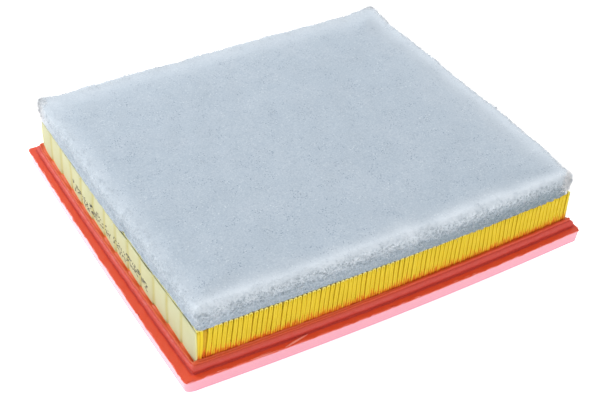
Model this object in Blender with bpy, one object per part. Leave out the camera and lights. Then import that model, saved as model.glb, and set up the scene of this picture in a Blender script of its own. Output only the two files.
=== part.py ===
"""Panel air filter element: a pleated paper pack in a moulded seal frame, with a fleece pre-filter on top.

Metres, +Z up. The origin is the centre of the frame's underside. The pleats are stacked along X, so every
fold runs along Y. Each object is one separate piece of the real element.
"""

import math

import bmesh
import bpy

MM = 0.001
GAP = 0.3 * MM                      # clearance kept between two pieces that touch

# Pleated sheet
PLEAT_COUNT = 83
PLEAT_PITCH = 2.976 * MM
SHEET = 0.5 * MM                    # thickness of the embossed paper
FOLD_WIDTH = 0.84 * MM              # centreline width of the flat at a fold
PACK_DEPTH = 219.0 * MM             # length of a fold, along Y
PACK_BOTTOM = 2.6 * MM              # underside of the lower folds
PACK_TOP = 35.5 * MM                # top of the upper folds

# Seal frame, measured outwards from the pack's outline
FLANGE_REACH = 8.1 * MM
FLANGE_TOP = 9.8 * MM
SKIRT_REACH = 6.9 * MM
GROOVE_REACH = 3.8 * MM
LIP_TOP = 15.6 * MM                 # front and rear
SIDE_LIP_TOP = 13.5 * MM            # left and right, where less foam rose beside the outermost plies
LEDGE_REACH = 3.0 * MM              # how far the ledge runs in under the pack
LEDGE_TOP = 1.4 * MM
CORNER_STEPS = 4                    # segments in each rounded corner

# Fleece pre-filter
FLEECE_INSET = 0.4 * MM
FLEECE_TOP = 50.0 * MM
FLEECE_EDGE = 3.0 * MM              # rounding of its cut edges

# Glue
GLUE_HEIGHT = 0.6 * MM              # thickness of a glue line that lies across the folds
EDGE_GLUE_DEPTH = 4.0 * MM          # how far the glue reaches in from the pleat's end
EDGE_GLUE_TOP = 24.0 * MM
THREAD_COUNT = 12
THREAD_WIDTH = 1.2 * MM
BOND_WIDTH = 4.0 * MM
BOND_PANELS = (1, 4, 8, 11)         # the spaces between threads that hold a fleece bond line

# Derived sizes
PACK_LENGTH = PLEAT_COUNT * PLEAT_PITCH
HALF_X = PACK_LENGTH / 2
HALF_Y = PACK_DEPTH / 2
SHEET_LOW = PACK_BOTTOM + SHEET / 2         # centreline of a lower fold
SHEET_HIGH = PACK_TOP - SHEET / 2           # centreline of an upper fold
HALF_FOLD_TOP = FOLD_WIDTH / 2
HALF_FOLD_FOOT = PLEAT_PITCH / 2 - HALF_FOLD_TOP
FLEECE_BOTTOM = PACK_TOP + GAP
PANEL_WIDTH = PACK_DEPTH / (THREAD_COUNT + 1)
THREAD_PLACES = [-HALF_Y + number * PANEL_WIDTH for number in range(1, THREAD_COUNT + 1)]
BOND_PLACES = [-HALF_Y + (panel + 0.5) * PANEL_WIDTH for panel in BOND_PANELS]


def clear_scene():
    for obj in list(bpy.data.objects):
        bpy.data.objects.remove(obj, do_unlink=True)


def make_material(name, color, roughness):
    material = bpy.data.materials.new(name)
    material.use_nodes = True
    shader = material.node_tree.nodes["Principled BSDF"]
    shader.inputs["Base Color"].default_value = (*color, 1.0)
    shader.inputs["Roughness"].default_value = roughness
    shader.inputs["Metallic"].default_value = 0.0
    material.diffuse_color = (*color, 1.0)
    return material


def add_object(name, mesh_builder, material):
    """Links a new object whose mesh comes from a filled bmesh."""
    mesh = bpy.data.meshes.new(name)
    bmesh.ops.recalc_face_normals(mesh_builder, faces=mesh_builder.faces)
    mesh_builder.to_mesh(mesh)
    mesh_builder.free()
    mesh.materials.append(material)
    obj = bpy.data.objects.new(name, mesh)
    bpy.context.scene.collection.objects.link(obj)
    return obj


def add_box(builder, low, high):
    """Adds a closed box between two corners and returns its vertices."""
    size = [b - a for a, b in zip(low, high)]
    centre = [(a + b) / 2 for a, b in zip(low, high)]
    box = bmesh.ops.create_cube(builder, size=1.0)
    bmesh.ops.scale(builder, vec=size, verts=box["verts"])
    bmesh.ops.translate(builder, vec=centre, verts=box["verts"])
    return box["verts"]


# ---------------------------------------------------------------- pleated sheet

def pleat_centre(index):
    return -HALF_X + (index + 0.5) * PLEAT_PITCH


def half_pleat(z):
    """Half the centreline width of a pleat at height z: narrow at its upper fold, wide at its foot."""
    share = (z - SHEET_LOW) / (SHEET_HIGH - SHEET_LOW)
    return HALF_FOLD_FOOT + (HALF_FOLD_TOP - HALF_FOLD_FOOT) * share


def sheet_centreline():
    """Points (x, z) of the folded sheet's centreline, from the left ply to the right ply."""
    points = []
    for index in range(PLEAT_COUNT):
        centre = pleat_centre(index)
        points += [
            (centre - HALF_FOLD_FOOT, SHEET_LOW),
            (centre - HALF_FOLD_TOP, SHEET_HIGH),
            (centre + HALF_FOLD_TOP, SHEET_HIGH),
            (centre + HALF_FOLD_FOOT, SHEET_LOW),
        ]
    return points


def thicken(points, thickness):
    """The two outlines at half a thickness to the left and to the right of an open line."""
    left, right = [], []
    for index, (x, z) in enumerate(points):
        before = points[max(index - 1, 0)]
        after = points[min(index + 1, len(points) - 1)]
        normals = []
        for start, end in ((before, (x, z)), ((x, z), after)):
            dx, dz = end[0] - start[0], end[1] - start[1]
            length = math.hypot(dx, dz)
            if length > 0:
                normals.append((-dz / length, dx / length))
        nx = sum(n[0] for n in normals)
        nz = sum(n[1] for n in normals)
        size = math.hypot(nx, nz)
        nx, nz = nx / size, nz / size
        reach = thickness / 2 / (nx * normals[0][0] + nz * normals[0][1])
        left.append((x + nx * reach, z + nz * reach))
        right.append((x - nx * reach, z - nz * reach))
    return left, right


def add_ribbon(builder, centreline, thickness, front, rear):
    """A closed body: an open line in XZ, thickened, from y = front to y = rear."""
    left, right = thicken(centreline, thickness)
    rows = [[builder.verts.new((x, y, z)) for x, z in side] for side in (left, right) for y in (front, rear)]
    left_front, left_rear, right_front, right_rear = rows
    for i in range(len(left) - 1):
        builder.faces.new((left_front[i], left_front[i + 1], left_rear[i + 1], left_rear[i]))
        builder.faces.new((right_front[i], right_rear[i], right_rear[i + 1], right_front[i + 1]))
        builder.faces.new((left_front[i], right_front[i], right_front[i + 1], left_front[i + 1]))
        builder.faces.new((left_rear[i], left_rear[i + 1], right_rear[i + 1], right_rear[i]))
    for i in (0, -1):
        builder.faces.new((left_front[i], left_rear[i], right_rear[i], right_front[i]))


def build_pleated_media(material):
    """One zigzag sheet, from end to end of the pack."""
    builder = bmesh.new()
    add_ribbon(builder, sheet_centreline(), SHEET, -HALF_Y, HALF_Y)
    return add_object("pleated_media", builder, material)


# ---------------------------------------------------------------- seal frame

def frame_section():
    """Closed section of the frame: (reach outwards from the pack's outline, height)."""
    bead = [
        (GROOVE_REACH - 0.3 * MM, FLANGE_TOP + 0.3 * MM),
        (GROOVE_REACH + 0.1 * MM, FLANGE_TOP + 1.4 * MM),
        (GROOVE_REACH - 0.1 * MM, FLANGE_TOP + 2.6 * MM),
        (GROOVE_REACH - 0.7 * MM, FLANGE_TOP + 3.6 * MM),
        (GROOVE_REACH - 1.4 * MM, FLANGE_TOP + 4.1 * MM),
    ]
    lip = [
        (2.2 * MM, FLANGE_TOP + 4.0 * MM),
        (2.1 * MM, LIP_TOP - 0.5 * MM),
        (1.6 * MM, LIP_TOP),
        (1.1 * MM, LIP_TOP - 0.2 * MM),
        (GAP, LIP_TOP - 0.4 * MM),
    ]
    return [
        (-LEDGE_REACH, 0.0),
        (SKIRT_REACH - 0.8 * MM, 0.0),
        (SKIRT_REACH, 0.8 * MM),
        (FLANGE_REACH - 0.3 * MM, FLANGE_TOP - 0.9 * MM),
        (FLANGE_REACH, FLANGE_TOP - 0.7 * MM),
        (FLANGE_REACH, FLANGE_TOP - 0.2 * MM),
        (FLANGE_REACH - 0.3 * MM, FLANGE_TOP),
        (GROOVE_REACH + 0.3 * MM, FLANGE_TOP),
        (GROOVE_REACH - 0.1 * MM, FLANGE_TOP - 0.3 * MM),
        *bead,
        *lip,
        (GAP, LEDGE_TOP),
        (-LEDGE_REACH, LEDGE_TOP),
    ]


def rounded_outline(reach):
    """Plan outline of the frame at a given reach, with corners that round more further out.

    Each point is (x, y, share), where share goes from 0 on the front and rear to 1 on the left and right."""
    radius = max(0.3 * MM, 0.3 * MM + 0.3 * reach)
    half_x, half_y = HALF_X + reach, HALF_Y + reach
    corners = ((1, 1, 0.0), (-1, 1, 90.0), (-1, -1, 180.0), (1, -1, 270.0))
    outline = []
    for sign_x, sign_y, start in corners:
        centre_x = sign_x * (half_x - radius)
        centre_y = sign_y * (half_y - radius)
        for step in range(CORNER_STEPS + 1):
            angle = math.radians(start + 90.0 * step / CORNER_STEPS)
            x, y = centre_x + radius * math.cos(angle), centre_y + radius * math.sin(angle)
            outline.append((x, y, math.cos(angle) ** 2))
    return outline


def lowered(height, share):
    """A height of the frame's section: what stands above the flange is lower on the left and right."""
    full, low = LIP_TOP - FLANGE_TOP, SIDE_LIP_TOP - FLANGE_TOP
    rise = max(0.0, height - FLANGE_TOP)
    return height - rise * share * (1 - low / full)


def build_seal_frame(material):
    builder = bmesh.new()
    rings = []
    for reach, height in frame_section():
        outline = rounded_outline(reach)
        rings.append([builder.verts.new((x, y, lowered(height, share))) for x, y, share in outline])
    for ring, following in zip(rings, rings[1:] + rings[:1]):
        count = len(ring)
        for i in range(count):
            j = (i + 1) % count
            builder.faces.new((ring[i], ring[j], following[j], following[i]))
    frame = add_object("seal_frame", builder, material)
    frame.data.shade_smooth()
    frame.data.set_sharp_from_angle(angle=math.radians(35))
    return frame


# ---------------------------------------------------------------- fleece pre-filter

def build_fleece(material):
    """The pad. Its underside has a shallow channel over each glue line that lies on the folds."""
    half_x, half_y = HALF_X - FLEECE_INSET, HALF_Y - FLEECE_INSET
    builder = bmesh.new()
    add_box(builder, (-half_x, -half_y, FLEECE_BOTTOM), (half_x, half_y, FLEECE_TOP))
    middle = (FLEECE_BOTTOM + FLEECE_TOP) / 2
    rounded = [e for e in builder.edges if max(v.co.z for v in e.verts) > middle]
    bmesh.ops.bevel(builder, geom=rounded, offset=FLEECE_EDGE, segments=3, profile=0.5, affect="EDGES")
    fleece = add_object("prefilter_fleece", builder, material)
    fleece.data.shade_smooth()
    fleece.data.set_sharp_from_angle(angle=math.radians(40))

    cutter_builder = bmesh.new()
    roof = FLEECE_BOTTOM + GLUE_HEIGHT + GAP
    overrun = 5 * MM
    lines = [(y, THREAD_WIDTH) for y in THREAD_PLACES] + [(y, BOND_WIDTH) for y in BOND_PLACES]
    for y, width in lines:
        side = width / 2 + GAP
        low = (-HALF_X - overrun, y - side, FLEECE_BOTTOM - overrun)
        add_box(cutter_builder, low, (HALF_X + overrun, y + side, roof))
    cutter = add_object("fleece_channel_cutter", cutter_builder, material)
    cutter.hide_render = True
    cutter.display_type = "WIRE"
    cut = fleece.modifiers.new("glue line channels", "BOOLEAN")
    cut.operation = "DIFFERENCE"
    cut.solver = "EXACT"
    cut.object = cutter
    return fleece


def build_fleece_bonds(material):
    """Flat glue lines on the upper folds that hold the fleece."""
    half_x = HALF_X - 4 * MM
    for number, y in enumerate(BOND_PLACES, start=1):
        builder = bmesh.new()
        low = (-half_x, y - BOND_WIDTH / 2, FLEECE_BOTTOM)
        high = (half_x, y + BOND_WIDTH / 2, FLEECE_BOTTOM + GLUE_HEIGHT)
        add_box(builder, low, high)
        add_object(f"fleece_bond_{number}", builder, material)


# ---------------------------------------------------------------- glue inside and across the pleats

def build_edge_glue(name, side, material):
    """The glue that closes the pleats' ends, at the front (side -1) or the rear (side 1).

    It is one bead laid along the edge of the flat sheet, so folded it is a comb: a run under the lower
    folds with a wedge up into every pleat.
    """
    bar_low = LEDGE_TOP + GAP
    bar_high = PACK_BOTTOM - GAP
    outer = side * (HALF_Y - GAP)
    inner = side * (HALF_Y - GAP - EDGE_GLUE_DEPTH)
    foot = half_pleat(bar_high) - SHEET / 2 - GAP
    tip = half_pleat(EDGE_GLUE_TOP) - SHEET / 2 - GAP
    builder = bmesh.new()
    combs = []
    for y in (outer, inner):
        teeth = []
        for index in range(PLEAT_COUNT):
            centre = pleat_centre(index)
            corners = [(sign * foot, height) for height in (bar_low, bar_high) for sign in (-1, 1)]
            corners += [(-tip, EDGE_GLUE_TOP), (tip, EDGE_GLUE_TOP)]
            teeth.append([builder.verts.new((centre + x, y, z)) for x, z in corners])
        combs.append(teeth)

    low_left, low_right, high_left, high_right, tip_left, tip_right = range(6)
    foot_ring = (low_left, low_right, high_right, high_left)
    wedge_ring = (high_left, high_right, tip_right, tip_left)
    walls = ((low_left, low_right), (tip_right, tip_left), (high_right, tip_right), (tip_left, high_left))
    for tooth, other in zip(*combs):
        for ring in (foot_ring, wedge_ring):
            builder.faces.new([tooth[i] for i in ring])
            builder.faces.new([other[i] for i in reversed(ring)])
        for a, b in walls:
            builder.faces.new((tooth[a], other[a], other[b], tooth[b]))
    for i in range(PLEAT_COUNT - 1):
        (a, a_next), (b, b_next) = ((teeth[i], teeth[i + 1]) for teeth in combs)
        for here, following in ((a, a_next), (b, b_next)):
            corners = (here[low_right], following[low_left], following[high_left], here[high_right])
            builder.faces.new(corners)
        for right, left in ((low_right, low_left), (high_right, high_left)):
            builder.faces.new((a[right], a_next[left], b_next[left], b[right]))
    for end, low, high in ((0, low_left, high_left), (-1, low_right, high_right)):
        a, b = combs[0][end], combs[1][end]
        builder.faces.new((a[low], a[high], b[high], b[low]))
    return add_object(name, builder, material)


def build_spacer_threads(material):
    """Glue threads over the upper folds, each with an end that runs down the pack's outer plies."""
    offset = SHEET / 2 + GAP + GLUE_HEIGHT / 2
    end = SIDE_LIP_TOP + GAP
    edge = HALF_X - PLEAT_PITCH / 2
    line = [
        (-edge - half_pleat(end) - offset, end),
        (-edge - half_pleat(SHEET_HIGH) - offset, SHEET_HIGH + offset),
        (edge + half_pleat(SHEET_HIGH) + offset, SHEET_HIGH + offset),
        (edge + half_pleat(end) + offset, end),
    ]
    for number, y in enumerate(THREAD_PLACES, start=1):
        builder = bmesh.new()
        add_ribbon(builder, line, GLUE_HEIGHT, y - THREAD_WIDTH / 2, y + THREAD_WIDTH / 2)
        add_object(f"spacer_thread_{number:02d}", builder, material)


def main():
    clear_scene()
    polyurethane = make_material("polyurethane", (0.60, 0.06, 0.025), 0.45)
    paper = make_material("filter paper", (0.72, 0.50, 0.05), 0.80)
    fleece = make_material("fleece", (0.52, 0.58, 0.66), 0.95)
    hot_melt = make_material("hot melt", (0.74, 0.62, 0.24), 0.35)

    build_seal_frame(polyurethane)
    build_pleated_media(paper)
    build_fleece(fleece)
    build_fleece_bonds(hot_melt)
    build_edge_glue("edge_glue_front", -1, hot_melt)
    build_edge_glue("edge_glue_rear", 1, hot_melt)
    build_spacer_threads(hot_melt)


main()
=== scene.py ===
import math

import bpy
import numpy as np
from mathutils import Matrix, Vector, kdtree


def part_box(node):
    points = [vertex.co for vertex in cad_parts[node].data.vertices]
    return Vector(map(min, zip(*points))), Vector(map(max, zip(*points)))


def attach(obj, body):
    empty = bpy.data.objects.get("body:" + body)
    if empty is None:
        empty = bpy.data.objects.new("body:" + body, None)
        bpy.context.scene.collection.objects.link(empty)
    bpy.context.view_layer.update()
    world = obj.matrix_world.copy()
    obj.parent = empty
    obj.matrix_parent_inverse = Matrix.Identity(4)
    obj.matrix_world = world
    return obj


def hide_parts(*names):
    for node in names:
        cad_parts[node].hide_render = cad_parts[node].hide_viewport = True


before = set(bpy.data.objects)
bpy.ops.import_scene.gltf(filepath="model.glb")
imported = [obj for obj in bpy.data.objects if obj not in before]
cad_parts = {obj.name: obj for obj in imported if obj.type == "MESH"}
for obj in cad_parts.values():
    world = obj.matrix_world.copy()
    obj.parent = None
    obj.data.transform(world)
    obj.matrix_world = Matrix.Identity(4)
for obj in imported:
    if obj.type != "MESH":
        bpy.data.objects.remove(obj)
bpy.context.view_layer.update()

# A panel air filter element: a pleated paper pack, foamed into a soft seal frame, under a fleece pad.
# Metres, +Z up. The pleats are stacked along X and every fold runs along Y. The front is -Y, the left -X.

MM = 0.001
BODY = "root"

# Pleated paper pack
PLEAT_COUNT = 83
SHEET = 0.5 * MM                    # paper thickness
THREAD_COUNT = 12
PACK_LOW, PACK_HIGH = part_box("pleated_media")
HALF_Y = PACK_HIGH.y
THREAD_LOW, THREAD_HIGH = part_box("spacer_thread_01")
PANEL = HALF_Y + (THREAD_LOW.y + THREAD_HIGH.y) / 2        # spacing of the glue threads
THREAD_LINES = [-HALF_Y + number * PANEL for number in range(1, THREAD_COUNT + 1)]
PITCH = 2.976 * MM
HALF_X = PLEAT_COUNT * PITCH / 2
SHEET_LOW = PACK_LOW.z + SHEET / 2
SHEET_HIGH = PACK_HIGH.z - SHEET / 2
HALF_CREST = 0.42 * MM              # half width of a fold, at the sheet's centreline
HALF_FOOT = PITCH / 2 - HALF_CREST
HALF_END = PITCH / 4                # half width of a pleat where its end is glued shut
GLUED_DEPTH = 4.0 * MM

# Seal frame, as reach outwards from the pack's outline and height
_, FRAME_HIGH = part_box("seal_frame")
FLANGE_REACH = FRAME_HIGH.x - HALF_X
LIP_TOP = FRAME_HIGH.z
FLANGE_TOP = 9.8 * MM
SIDE_LIP = 13.5 * MM                # top of the lip on the left and right, where less foam rose
SKIRT_REACH = 6.9 * MM
GROOVE_REACH = 3.8 * MM

# Fleece pad
PAD_LOW, PAD_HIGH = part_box("prefilter_fleece")

# The moulded frame isn't quite straight: both long sides bend towards the front, and the left side bulges
FRONT_BOW = 2.8 * MM
REAR_BOW = 0.8 * MM
LEFT_BOW = 1.05 * MM

# Nor are the pleats quite evenly spaced, and the left flange grows wider towards the front
PACK_SHIFT = 0.5 * MM               # how far the pleats stand to the right of even places, on the left
PACK_SPREAD = 1.9 * MM              # and how much further they have come past the middle
FLANGE_SPREAD = 2.1 * MM


# ---------------------------------------------------------------- numbers and meshes

def smooth(value):
    """A smooth step from 0 to 1."""
    value = np.clip(value, 0.0, 1.0)
    return value * value * (3 - 2 * value)


def ramp(value, start, end):
    """A smooth step from 0 to 1 between two lengths in millimetres."""
    return smooth((value / MM - start) / (end - start))


def fade(distance, reach):
    """1 at no distance, fading out over about so many millimetres."""
    return np.exp(-distance / (reach * MM))


def bell(distance, width):
    """1 at no distance, and a bell curve of this half width in millimetres to either side."""
    return np.exp(-(distance / (width * MM)) ** 2)


def from_ends(count):
    """0, 1, 2 and so on from both ends of a row."""
    return np.minimum(np.arange(count), np.arange(count)[::-1])


def shares(points):
    """Where points lie on the pack, from -1 to 1 along X and along Y."""
    return (np.clip(points[..., i] / half, -1, 1) for i, half in enumerate((HALF_X, HALF_Y)))


def ripple(points, wavelength, seed, waves=9):
    """Smooth random values with a spread of about 1, from waves about so many millimetres long."""
    points = np.asarray(points, float)
    rng = np.random.default_rng(seed)
    total = np.zeros(points.shape[:-1])
    for _ in range(waves):
        direction = rng.normal(size=points.shape[-1])
        direction /= np.linalg.norm(direction)
        length = wavelength * MM * rng.uniform(0.7, 1.5)
        total += np.sin(points @ direction * (2 * math.pi / length) + rng.uniform(0, 2 * math.pi))
    return total / math.sqrt(waves / 2)


def bowed(points):
    """The points moved with the frame's slight bend."""
    moved = np.array(points, float)
    across, along = shares(moved)
    moved[..., 1] -= (1 - across ** 2) * (FRONT_BOW + (REAR_BOW - FRONT_BOW) * (along / 2 + 0.5))
    moved[..., 0] -= (1 - along ** 2) * LEFT_BOW * (0.5 - across / 2)
    return moved


def spaced(points):
    """The points moved with the pleats' uneven spacing and the left flange's growth towards the front."""
    moved = np.array(points, float)
    x = moved[..., 0]
    _, along = shares(moved)
    shift = PACK_SHIFT * (1 + ramp(-x, 65, 95)) + PACK_SPREAD * ramp(x, -28, 20)
    inner = ramp(x + HALF_X, 2.6, 3.5) * (1 - ramp(x - HALF_X, 3.9, 7.5))
    outer = ramp(-x - HALF_X, 4.2, 7.2)
    moved[..., 0] += inner * shift - outer * FLANGE_SPREAD * (0.5 - along / 2) ** 1.3
    return moved


def new_piece(name, points, faces, material, slot, replaces=(), smooth_shading=True):
    """A mesh that rides on the part's body, bent with the frame and spaced with the pleats."""
    mesh = bpy.data.meshes.new(name)
    mesh.from_pydata(bowed(points if slot == "fleece" else spaced(points)).tolist(), [], faces)
    mesh.validate()
    mesh.materials.append(material)
    if smooth_shading:
        mesh.shade_smooth()
    piece = bpy.data.objects.new(name, mesh)
    bpy.context.scene.collection.objects.link(piece)
    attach(piece, BODY)
    if replaces:
        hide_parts(*replaces)
    return piece


def tube_faces(ring_count, point_count, first=0, closed=False):
    """Quads between rings of points, with a cap at each end unless the rings themselves close."""
    faces = []
    for ring in range(ring_count if closed else ring_count - 1):
        here = first + ring * point_count
        following = first + (ring + 1) % ring_count * point_count
        for point in range(point_count):
            after = (point + 1) % point_count
            faces.append((here + point, here + after, following + after, following + point))
    if not closed:
        last = first + (ring_count - 1) * point_count
        faces.append(tuple(first + point for point in reversed(range(point_count))))
        faces.append(tuple(last + point for point in range(point_count)))
    return faces


def joined(tubes):
    """Points and faces of several tubes, each an array of rings, points and coordinates."""
    points, faces, first = [], [], 0
    for rings in tubes:
        ring_count, point_count = rings.shape[:2]
        points.append(rings.reshape(-1, 3))
        faces += tube_faces(ring_count, point_count, first)
        first += ring_count * point_count
    return np.concatenate(points), faces


def unit(vectors):
    """Vectors of length 1."""
    return vectors / np.linalg.norm(vectors, axis=-1, keepdims=True)


def new_tubes(name, tubes, *rest, **options):
    """Several tubes as one mesh, with new_piece's other arguments."""
    return new_piece(name, *joined(tubes), *rest, **options)


def in_plane(x, y, z):
    """Points (x, y, z) that share one y."""
    return np.stack([x, np.full_like(x, y), z], 1)


def path_normals(path):
    """Directions square to a path within its XZ plane."""
    step = unit(np.gradient(path[:, [0, 2]], axis=0))
    return in_plane(-step[:, 1], 0.0, step[:, 0])


def arc(centre, radii, start, end, steps):
    """Points (reach, height) on an ellipse, angles in degrees."""
    angles = np.radians(np.linspace(start, end, steps))
    return np.stack([centre[0] + radii[0] * np.cos(angles), centre[1] + radii[1] * np.sin(angles)], 1)


def line(start, end, steps):
    """Points on a straight line, without the last one."""
    return np.linspace(start, end, steps, endpoint=False)


def store(piece, name, values):
    """Keeps one number for each point of a piece, for its material to read."""
    attribute = piece.data.attributes.new(name, "FLOAT", "POINT")
    attribute.data.foreach_set("value", np.asarray(values, np.float32).ravel())


# ---------------------------------------------------------------- materials

class Looks:
    """A material's node tree, with short ways to add what these materials share."""

    def __init__(self, name, color, roughness):
        self.material = bpy.data.materials.new(name)
        self.material.use_nodes = True
        self.material.diffuse_color = (*color, 1.0)
        self.tree = self.material.node_tree
        self.shader = self.tree.nodes["Principled BSDF"]
        self.set(Roughness=roughness)
        self.place = self.node("TexCoord").outputs["Object"]
        self.color = self.node("RGB").outputs[0]
        self.color.default_value = (*color, 1.0)

    def node(self, kind, inputs=(), **settings):
        """A new node with these settings, and with values or other nodes' outputs in its inputs."""
        node = self.tree.nodes.new("ShaderNode" + kind)
        for name, value in settings.items():
            setattr(node, name, value)
        for name, value in dict(inputs).items():
            if isinstance(value, bpy.types.NodeSocket):
                self.tree.links.new(value, node.inputs[name])
            else:
                node.inputs[name].default_value = value
        return node

    def set(self, **values):
        for name, value in values.items():
            self.shader.inputs[name.replace("_", " ")].default_value = value

    def noise(self, size, detail=3.0, roughness=0.55, stretch=(1, 1, 1), distortion=0.0):
        """Noise with features of about this size in millimetres, stretched along the axes."""
        place = self.node("Mapping", {"Vector": self.place, "Scale": [1 / share for share in stretch]})
        return self.node("TexNoise", {
            "Vector": place.outputs["Vector"], "Scale": 1 / (size * MM), "Detail": detail,
            "Roughness": roughness, "Distortion": distortion}).outputs["Fac"]

    def cells(self, size):
        """Distance to the nearest of many scattered points, about so many millimetres apart."""
        return self.node("TexVoronoi", {"Vector": self.place, "Scale": 1 / (size * MM)}).outputs["Distance"]

    def attribute(self, name):
        return self.node("Attribute", attribute_name=name).outputs["Fac"]

    def height(self):
        return self.node("SeparateXYZ", {0: self.place}).outputs["Z"]

    def math(self, operation, first, second):
        return self.node("Math", {0: first, 1: second}, operation=operation).outputs[0]

    def product(self, first, second):
        return self.math("MULTIPLY", first, second)

    def span(self, value, low, high, to_low=0.0, to_high=1.0):
        """The value taken from one span to another, clamped, with a smooth step."""
        return self.node("MapRange", {
            "Value": value, "From Min": low, "From Max": high, "To Min": to_low, "To Max": to_high,
        }, interpolation_type="SMOOTHSTEP").outputs["Result"]

    def blend(self, share, color):
        """Mixes a colour over the material's colour so far."""
        inputs = {"Factor": share, "A": self.color, "B": (*color, 1.0)}
        self.color = self.node("Mix", inputs, data_type="RGBA").outputs["Result"]

    def patches(self, color, size, low, high, share, **kind):
        """Mixes in a colour where noise of this size rises from low to high, up to a share."""
        self.blend(self.span(self.noise(size, **kind), low, high, 0.0, share), color)

    def mark(self, name, color, share=None):
        """Mixes in a colour where the piece's own attribute says, times a share."""
        here = self.attribute(name)
        self.blend(here if share is None else self.product(here, share), color)

    def rough(self, size, low, high, less=0.0):
        """Roughness that follows noise of this size, from low to high, less a pattern."""
        pattern = self.span(self.noise(size), 0.3, 0.7, low, high)
        self.tree.links.new(self.math("SUBTRACT", pattern, less), self.shader.inputs["Roughness"])

    def bump(self, value, distance, strength):
        """Raises the surface by a pattern, this many millimetres at the most, over the bumps so far."""
        bumped = self.node("Bump", {"Distance": distance * MM, "Strength": strength, "Height": value})
        normal = self.shader.inputs["Normal"]
        if normal.is_linked:
            self.tree.links.new(normal.links[0].from_socket, bumped.inputs["Normal"])
        self.tree.links.new(bumped.outputs["Normal"], normal)

    def done(self, specular=0.5):
        self.set(Specular_IOR_Level=specular)
        self.tree.links.new(self.color, self.shader.inputs["Base Color"])
        return self.material


# The skirt's pale pink is painted reflection: the red outer wall as lit by the bright floor.
FOAM_COLORS_AND_PAINTED_LIGHT = {"bead": (0.54, 0.052, 0.036), "thin": (0.66, 0.062, 0.018), "shelf": (0.57, 0.080, 0.011),
               # The hem's lavender-grey is painted shade and reflection along the left skirt's lower edge.
               "skirt": (0.785, 0.352, 0.445), "hem": (0.62, 0.50, 0.62), "flash": (0.88, 0.30, 0.24)}
GLUED_PAPER = (0.745, 0.565, 0.033)


def polyurethane_material():
    """Soft cast polyurethane: satin and finely pored, with painted shade in the pores, and a glossy outer
    wall painted pale pink as reflected floor light, orange where thin.
    """
    looks = Looks("cast_polyurethane", (0.58, 0.048, 0.022), 0.42)
    looks.patches((0.64, 0.07, 0.03), 14, 0.35, 0.75, 0.35, detail=4)
    for name, color in FOAM_COLORS_AND_PAINTED_LIGHT.items():
        looks.mark(name, color)
    pores = looks.cells(0.9)
    # Darker at the pores: painted shade in their hollows.
    looks.blend(looks.span(pores, 0.0, 0.16, 0.35, 0.0), (0.28, 0.02, 0.012))
    satin = looks.math("MAXIMUM", looks.attribute("shelf"), looks.attribute("bead"))
    duller = looks.product(looks.math("MAXIMUM", satin, looks.attribute("flash")), 0.22)
    glossier = looks.math("SUBTRACT", looks.product(looks.attribute("skirt"), 0.26), duller)
    looks.rough(3, 0.30, 0.50, less=glossier)
    looks.bump(looks.noise(0.7, detail=5), 0.10, 0.7)
    looks.bump(pores, 0.10, 0.35)
    return looks.done()


def wick_material():
    """The same foam where it is thin between the pleats' ends: orange, and more so towards the top."""
    looks = Looks("polyurethane_wicks", (0.60, 0.085, 0.006), 0.6)
    looks.mark("wick", (0.78, 0.20, 0.010))
    looks.patches((0.62, 0.11, 0.008), 1.5, 0.4, 0.7, 0.5)
    looks.rough(1, 0.5, 0.7)
    return looks.done(0.15)


def paper_material():
    """Resin-bonded filter paper: pale, but deep yellow where glue soaks it and orange where foam does."""
    looks = Looks("filter_paper", (0.70, 0.66, 0.38), 0.8)
    looks.patches((0.72, 0.64, 0.30), 9, 0.35, 0.7, 0.5, detail=4)
    looks.mark("glued", GLUED_PAPER)
    looks.patches((0.84, 0.68, 0.08), 1.3, 0.45, 0.75, 0.35, detail=2, stretch=(1, 1, 14))
    looks.blend(looks.span(looks.height(), SHEET_HIGH - 1.0 * MM, SHEET_HIGH, 0.0, 0.7), (0.76, 0.73, 0.28))
    foam_stain(looks, -1.2 * MM, looks.attribute("soaked"))
    looks.rough(2, 0.7, 0.9)
    looks.bump(looks.noise(0.35, detail=4), 0.05, 0.7)
    return looks.done(0.08)


def foam_stain(looks, rise, share):
    """Orange foam soaks into the pack's ends from the frame up to an uneven line, which a rise moves up."""
    uneven = looks.span(looks.noise(1.9, stretch=(1, 1, 3)), 0.25, 0.75, -2.2 * MM, 2.2 * MM)
    edge = looks.math("ADD", looks.height(), looks.math("SUBTRACT", uneven, rise))
    tinged = looks.span(edge, LIP_TOP + 0.8 * MM, LIP_TOP + 5.4 * MM, 0.8, 0.0)
    full = looks.span(edge, LIP_TOP - 1.0 * MM, LIP_TOP + 3.4 * MM, 1.0, 0.0)
    looks.blend(looks.product(tinged, share), (0.80, 0.30, 0.015))
    looks.blend(looks.product(full, share), (0.60, 0.105, 0.010))


def ply_face_material():
    """The pack's outermost plies: cream paper, yellower and darker at each glue thread, partly glue soak and
    partly painted shade in the dip there, with painted shade in the hollow at each thread's foot, and orange
    where the foam ends.
    """
    looks = Looks("filter_paper_face", (0.525, 0.53, 0.335), 0.8)
    looks.patches((0.51, 0.505, 0.28), 8, 0.35, 0.7, 0.6, detail=4, stretch=(1, 1, 2))
    # Darker olive along each glue thread: partly glue soak, partly painted shade in the dip between the
    # bulging panels.
    looks.mark("line", (0.44, 0.40, 0.13), 0.7)
    looks.mark("glued", (0.72, 0.70, 0.26))
    # Nearly black at each thread's foot: painted shade in the hollow where the paper meets the foam.
    looks.mark("pit_shade", (0.10, 0.075, 0.015), 0.9)
    looks.mark("foamed", (0.74, 0.30, 0.03))
    looks.rough(2, 0.7, 0.9)
    looks.bump(looks.noise(0.35, detail=4), 0.05, 0.7)
    looks.bump(looks.noise(3.0, detail=2), 0.10, 0.5)
    return looks.done(0.1)


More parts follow.
